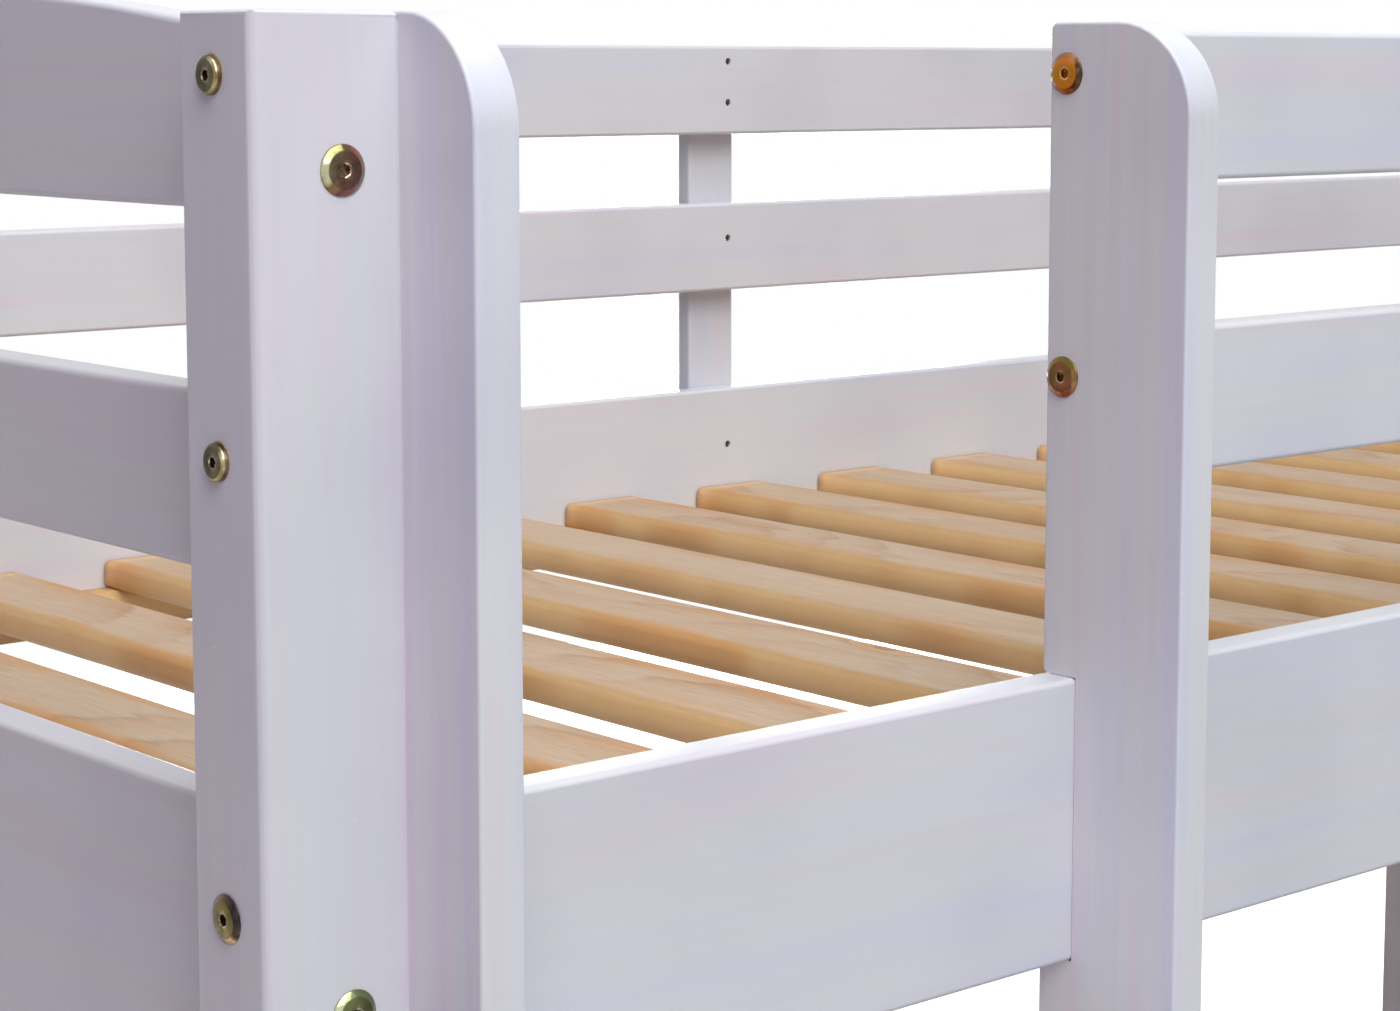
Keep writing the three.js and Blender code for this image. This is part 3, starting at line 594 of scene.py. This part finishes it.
def bolt_mesh(kind, reach):
    """A furniture bolt about its seat: shank down -Z, a head with a hex socket up +Z."""
    shank = kind["shank"] / 2
    edge = kind["head"] / 2
    top = kind["thickness"]
    hole = kind["hex"] / 2
    return turned_mesh("bolt", [
        (circle, shank - TIP_CHAMFER, -reach),
        (circle, shank, -reach + TIP_CHAMFER),
        (circle, shank, 0.0),
        (circle, edge - EDGE_BREAK, 0.0),
        (circle, edge, EDGE_BREAK),
        (circle, edge, kind["rim"] - EDGE_BREAK),
        *((circle, radius, height) for radius, height in shoulder(kind)),
        (circle, edge * kind["face"] - EDGE_BREAK, top),
        (circle, hole * SOCKET_RIM, top),
        (hexagon, hole * SOCKET_CHAMFER, top - EDGE_BREAK / 2),
        (hexagon, hole, top - 2 * EDGE_BREAK),
        (hexagon, hole, top - kind["socket"]),
        (circle, hole * SOCKET_POINT, top - kind["socket"] - SOCKET_POINT_DROP),
    ])


def scuff_mesh(kind):
    """A thin torn ring of bare wood under a head, a little wider than it and off to one side."""
    edge = kind["head"] / 2
    return turned_mesh("scuff", [
        (circle, edge * SCUFF_INNER, -SCUFF_LIFT),
        (circle, edge + SCUFF_SPREAD, -SCUFF_LIFT),
        (circle, edge + SCUFF_SPREAD, SCUFF_LIFT / 2),
        (circle, edge, SCUFF_LIFT),
        (circle, edge * SCUFF_INNER, SCUFF_LIFT),
    ])


# ---- Fasteners ----

def low(node):
    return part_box(node)[0]


def high(node):
    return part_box(node)[1]


def middle(node):
    return (low(node) + high(node)) / 2


def outer(node, sign):
    """Corner of a node's box on the side that the sign names."""
    return high(node) if sign > 0 else low(node)


def side_bolts():
    """Bolts that run along X through a post into a side rail or a guard board."""
    width = high("post_front_left").x - low("post_front_left").x
    for end, sign in (("left", -1), ("right", 1)):
        for side in ("front", "back"):
            post = f"post_{side}_{end}"
            at_ladder = (end, side) == ("left", "front")
            for row in ("top", "middle"):
                board = f"{side}_guard_{row}_board"
                z = high(board).z - GUARD_BOLT_DROP
                seat = Vector((outer(post, sign).x, middle(board).y, z))
                kind, bite = (SMALL, STILE_BITE) if at_ladder else (BIG, BOLT_BITE)
                yield f"{post}_guard_{row}", kind, seat, Vector((sign, 0, 0)), width + bite
            for level in ("upper", "lower"):
                rail = f"{level}_{side}_rail"
                for row, drop in (("high", 0.0), ("low", RAIL_BOLT_PITCH[side])):
                    z = high(rail).z - RAIL_BOLT_DROP - drop
                    seat = Vector((outer(post, sign).x, middle(rail).y, z))
                    yield f"{post}_{level}_rail_{row}", BIG, seat, Vector((sign, 0, 0)), width + BOLT_BITE


def end_bolts():
    """Bolts that run along Y through a post into an end board or an end rail."""
    depth = high("post_front_left").y - low("post_front_left").y
    for end in ("left", "right"):
        rows = (
            ("arched_board", low(f"{end}_arched_board").z + END_BOLT_RISE),
            ("upper_end_rail", middle(f"upper_{end}_end_rail").z),
            ("lower_top_board", low(f"lower_{end}_top_board").z + END_BOLT_RISE),
            ("lower_end_rail", middle(f"lower_{end}_end_rail").z),
        )
        for side, sign in (("front", -1), ("back", 1)):
            post = f"post_{side}_{end}"
            for row, z in rows:
                seat = Vector((middle(f"upper_{end}_end_rail").x, outer(post, sign).y, z))
                yield f"{post}_{row}", BIG, seat, Vector((0, sign, 0)), depth + BOLT_BITE


def ladder_bolts():
    """Bolts from the right stile into the guard boards, and from both stiles into the treads."""
    thickness = high("ladder_stile_left").x - low("ladder_stile_left").x
    stile = "ladder_stile_right"
    for row in ("top", "middle"):
        board = f"front_guard_{row}_board"
        seat = Vector((low(stile).x, middle(board).y, high(board).z - GUARD_BOLT_DROP))
        yield f"{stile}_guard_{row}", BIG, seat, Vector((-1, 0, 0)), thickness + BOLT_BITE
    for end, sign in (("left", -1), ("right", 1)):
        stile = f"ladder_stile_{end}"
        for step in (name for name in sorted(NODES) if name.startswith("ladder_tread")):
            y = low(step).y + TREAD_BOLT_SETBACK
            seat = Vector((outer(stile, sign).x, y, middle(step).z))
            yield f"{stile}_{step}", SMALL, seat, Vector((sign, 0, 0)), thickness + BOLT_BITE


def batten_screws():
    """Screws in the sunk holes of the guards' inner faces."""
    for side, sign in (("front", 1), ("back", -1)):
        top = f"{side}_guard_top_board"
        board = f"{side}_guard_middle_board"
        rail = f"upper_{side}_rail"
        heights = [high(top).z - drop for drop in TOP_SCREW_DROPS]
        heights += [high(board).z - MIDDLE_SCREW_DROP, high(rail).z - RAIL_SCREW_DROP]
        for count, z in enumerate(heights, start=1):
            seat = Vector((middle(f"{side}_guard_batten").x, outer(top, sign).y - sign * SCREW_SUNK, z))
            yield f"{side}_batten_{count}", seat, Vector((0, sign, 0))


def add_fastener(name, mesh, seat, outward, turn, tilt, material):
    """Seats a mesh on a face, with its +Z outward; the turn is in radians and the tilt in degrees."""
    piece = bpy.data.objects.new(name, mesh)
    bpy.context.scene.collection.objects.link(piece)
    aim = outward.to_track_quat("Z", "Y").to_matrix().to_4x4()
    spin = Matrix.Rotation(turn, 4, "Z")
    lean = Matrix.Rotation(math.radians(tilt), 4, "X")
    piece.matrix_world = Matrix.Translation(seat) @ aim @ spin @ lean
    mesh.materials.clear()
    mesh.materials.append(material)
    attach(piece, "root")
    return piece


def cad_bolt_at(seat):
    """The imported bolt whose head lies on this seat, if it is one of the modelled ones."""
    for name in NODES:
        if name.startswith("bolt_"):
            lowest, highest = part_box(name)
            if all(lowest[i] - SEAT_SLACK < seat[i] < highest[i] + SEAT_SLACK for i in range(3)):
                return name
    return None


# Film with its painted glints, turn in degrees and tilt in degrees of the bolts near the ladder's head.
CHOSEN = {
    "bolt_guard_top": ("amber", 0, 0.5),
    "bolt_guard_middle": ("maroon", 0, -0.4),
    "bolt_arched_board": ("rose", 0, 0.3),
    "bolt_end_rail": ("green", 0, -0.3),
    "bolt_stile_top": ("olive", 12, 0.6),
    "bolt_stile_middle": ("olive", -18, -0.8),
    "bolt_front_rail_left": ("bronze", 0, 1.5),
}
COMMON = ("olive", "bronze", "bronze", "rose", "maroon", "green", "amber")


def add_fasteners():
    luck = random.Random(SEED)
    made = {}

    def film(tone, kind):
        key = (tone, kind["head"])
        if key not in made:
            made[key] = zinc(tone, kind)
        return made[key]

    torn = bare_wood()
    replaced = 0
    for name, kind, seat, outward, reach in (*side_bolts(), *end_bolts(), *ladder_bolts()):
        node = cad_bolt_at(seat)
        tone = luck.choice(COMMON)
        turn = luck.uniform(0, 360)
        tilt = luck.uniform(-HEAD_TILT, HEAD_TILT)
        tone, turn, tilt = CHOSEN.get(node, (tone, turn, tilt))
        mesh = bolt_mesh(kind, reach)
        turn = math.radians(turn)
        piece = add_fastener(f"bolt.{name}", mesh, seat, outward, turn, tilt, film(tone, kind))
        if node:
            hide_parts(node)
            replaced += 1
        if node in ("bolt_stile_top", "bolt_stile_middle"):
            at = seat + SCUFF_SHIFT
            add_fastener(f"scuff.{name}", scuff_mesh(kind), at, outward, 0.0, 0.0, torn)
    assert replaced == sum(name.startswith("bolt_") for name in NODES)
    for name, seat, outward in batten_screws():
        turn = luck.uniform(0, 2 * math.pi)
        mesh = bolt_mesh(SCREW, SCREW_REACH)
        add_fastener(f"screw.{name}", mesh, seat, outward, turn, 0.0, film("olive", SCREW))


# ---- Joints ----

def add_joint_bead(post, stile):
    """The thin line of lacquer that fills the corner between a post's front and a ladder's side."""
    corner = Vector((low(stile).x, low(post).y, 0))
    outline = ((0.0, -BEAD_PROUD), (0.0, BEAD), (-BEAD, BEAD), (-BEAD, -BEAD_PROUD))
    foot = low(post).z + BEAD_END
    head = high(post).z - BEAD_END
    made = bmesh.new()
    loops = [[made.verts.new((corner.x + x, corner.y + y, z)) for x, y in outline] for z in (foot, head)]
    for step in range(len(outline)):
        following = (step + 1) % len(outline)
        made.faces.new((loops[0][step], loops[0][following], loops[1][following], loops[1][step]))
    made.faces.new(loops[0])
    made.faces.new(loops[1])
    bmesh.ops.recalc_face_normals(made, faces=made.faces)
    mesh = bpy.data.meshes.new("bead")
    made.to_mesh(mesh)
    made.free()
    mesh.materials.append(lacquer("Z", wear_and_sheen=0.0))
    piece = bpy.data.objects.new(f"bead.{stile}", mesh)
    bpy.context.scene.collection.objects.link(piece)
    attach(piece, "root")


# ---- Timber ----

def grain_of(node):
    """A piece's grain runs along its longest side."""
    size = high(node) - low(node)
    return "XYZ"[max(range(3), key=lambda axis: size[axis])]


def slat_layout():
    """Pitch of the even row of slats, the middle of one of them, and the middle of the last slat."""
    names = sorted(name for name in NODES if name.startswith("upper_slat"))
    centre = len(names) // 2
    row = middle(names[centre]).x
    return middle(names[centre + 1]).x - row, row, middle(names[-1]).x


def finish_slats(name, faces, ends, keepers):
    """The end slats lie off the even row's pitch, and the lower panel's battens run along the bed."""
    mesh = NODES[name].data
    mesh.materials.clear()
    for material in (faces, ends, keepers):
        mesh.materials.append(material)
    last = slat_layout()[2]
    width = high(MIDDLE_SLAT).x - low(MIDDLE_SLAT).x
    thickness = high(MIDDLE_SLAT).z - low(MIDDLE_SLAT).z
    underside = high(name).z - thickness - UNDERSIDE_SLACK
    for polygon in mesh.polygons:
        if polygon.center.z < underside:
            polygon.material_index = KEEPER_SLOT
        elif abs(polygon.center.x) > last - width / 2 - SLAT_SLACK:
            polygon.material_index = END_SLOT


def finish_timber():
    pitch, start, last = slat_layout()
    rise = high(MIDDLE_SLAT).z - high("lower_slat_panel").z
    slat_pine = pine("natural_pine_slats", "Y", pitch, start, rise)
    end_pine = pine("natural_pine_end_slats", "Y", 2 * last, last, rise)
    ledger_pine = pine("natural_pine_ledgers", "X", LEDGER_PITCH, 0.0, rise)
    coats = {grain: lacquer(grain) for grain in "XYZ"}
    # a lighter copy of the lacquer on the stiles: painted light
    ladder_coat_painted_lighter = lacquer("Z", streaks=LADDER_STREAKS, level=LADDER_PAINTED_LIGHT)
    for name, node in NODES.items():
        if name.startswith("bolt_"):
            continue
        smooth_corners(node)
        if "slat" in name:
            finish_slats(name, slat_pine, end_pine, ledger_pine)
            continue
        if "ledger" in name:
            material = ledger_pine
        elif "stile" in name:
            material = ladder_coat_painted_lighter
        else:
            material = coats[grain_of(name)]
        node.data.materials.clear()
        node.data.materials.append(material)


# ---- Studio ----

# Area lamps: place and size in metres, power in watts.
LAMPS = {
    "key": {"place": (-2.6, -3.6, 4.2), "size": 2.6, "power": 90, "tint": (0.96, 0.91, 0.98)},
    "near": {"place": (-3.2, -4.6, 2.6), "size": 2.6, "power": 9, "tint": (0.95, 0.92, 1.0)},
    "front": {"place": (-1.3, -3.3, 4.5), "size": 2.8, "power": 64, "tint": (0.83, 1.0, 0.93)},
    "left": {"place": (-5.4, -1.6, 2.2), "size": 2.6, "power": 14, "tint": (0.95, 0.45, 1.0)},
    "top": {"place": (-0.5, -1.4, 5.1), "size": 3.2, "power": 126, "tint": (0.98, 0.98, 1.0)},
    "back": {"place": (3.3, 4.8, 0.9), "size": 2.0, "power": 240, "tint": (1.0, 1.0, 1.0)},
    "right": {"place": (5.0, 0.8, 1.3), "size": 2.2, "power": 80, "tint": (1.0, 1.0, 1.0)},
}
LAMP_TARGET = Vector((-0.4, 0.0, 1.1))
AMBIENT = 0.02
AMBIENT_TINT = (0.96, 0.97, 1.0)
FLOOR_COLOUR = 0.58
FLOOR_REACH = 12.0
FLOOR_STEPS = 64
FLOOR_GLOW_NEAR = 0.5  # what the floor adds for the camera: little near the bed, where its shadow lies,
FLOOR_GLOW_FAR = 1.0  # and white further out
FLOOR_GLOW_FROM = 1.5  # metres from the frame's origin
FLOOR_GLOW_TO = 3.2


def add_lamps():
    for name, lamp in LAMPS.items():
        data = bpy.data.lights.new(name, "AREA")
        data.size = lamp["size"]
        data.energy = lamp["power"]
        data.color = lamp["tint"]
        light = bpy.data.objects.new(f"lamp_{name}", data)
        light.location = lamp["place"]
        light.rotation_euler = (LAMP_TARGET - light.location).to_track_quat("-Z", "Y").to_euler()
        bpy.context.scene.collection.objects.link(light)


def seen_directly(tree):
    """1 for camera, glossy and transmission rays, 0 for the rays that light the object."""
    path = tree.nodes.new("ShaderNodeLightPath")
    total = path.outputs["Is Camera Ray"]
    for name in ("Is Glossy Ray", "Is Transmission Ray"):
        either = tree.nodes.new("ShaderNodeMath")
        either.operation = "MAXIMUM"
        tree.links.new(total, either.inputs[0])
        tree.links.new(path.outputs[name], either.inputs[1])
        total = either.outputs[0]
    return total


def add_world():
    world = bpy.data.worlds.new("studio")
    world.use_nodes = True
    tree = world.node_tree
    light = tree.nodes["Background"]
    light.inputs["Color"].default_value = rgb(AMBIENT_TINT)
    light.inputs["Strength"].default_value = AMBIENT
    white = tree.nodes.new("ShaderNodeBackground")
    white.inputs["Color"].default_value = (1, 1, 1, 1)
    choose = tree.nodes.new("ShaderNodeMixShader")
    tree.links.new(seen_directly(tree), choose.inputs[0])
    tree.links.new(light.outputs[0], choose.inputs[1])
    tree.links.new(white.outputs[0], choose.inputs[2])
    tree.links.new(choose.outputs[0], tree.nodes["World Output"].inputs["Surface"])
    bpy.context.scene.world = world


def add_floor():
    made = bmesh.new()
    bmesh.ops.create_circle(made, cap_ends=True, segments=FLOOR_STEPS, radius=FLOOR_REACH)
    mesh = bpy.data.meshes.new("floor")
    made.to_mesh(mesh)
    made.free()
    floor = bpy.data.objects.new("floor", mesh)
    bpy.context.scene.collection.objects.link(floor)
    g = Graph("floor")
    reach = g.length(g.coordinates())
    glow = g.remap(reach, FLOOR_GLOW_FROM, FLOOR_GLOW_TO, FLOOR_GLOW_NEAR, FLOOR_GLOW_FAR)
    glow = g.math("MULTIPLY", glow, seen_directly(g.tree))
    g.finish(base_color=rgb((FLOOR_COLOUR,) * 3), roughness=0.9, specular_ior_level=0.0,
             emission_color=(1, 1, 1, 1), emission_strength=glow)
    mesh.materials.append(g.material)
    floor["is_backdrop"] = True


def add_camera():
    data = bpy.data.cameras.new("camera")
    data.sensor_width = CAMERA_SENSOR
    data.lens = CAMERA_LENS
    data.shift_y = CAMERA_SHIFT
    camera = bpy.data.objects.new("camera", data)
    corner = Vector((low("post_front_left").x, low("post_front_left").y, high("post_front_left").z))
    camera.location = corner + CAMERA_FROM_POST
    camera.rotation_euler = (math.radians(90 + CAMERA_PITCH), 0, math.radians(-CAMERA_YAW))
    bpy.context.scene.collection.objects.link(camera)
    bpy.context.scene.camera = camera


add_camera()
finish_timber()
add_fasteners()
add_joint_bead("post_front_left", "ladder_stile_left")
add_floor()
add_lamps()
add_world()
bpy.context.scene.view_settings.view_transform = "Standard"

bpy.context.view_layer.update()
VISUAL_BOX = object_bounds()
boxes = {"cad": CAD_BOX, "visual": VISUAL_BOX}
{name: [list(corner) for corner in box] for name, box in boxes.items()}
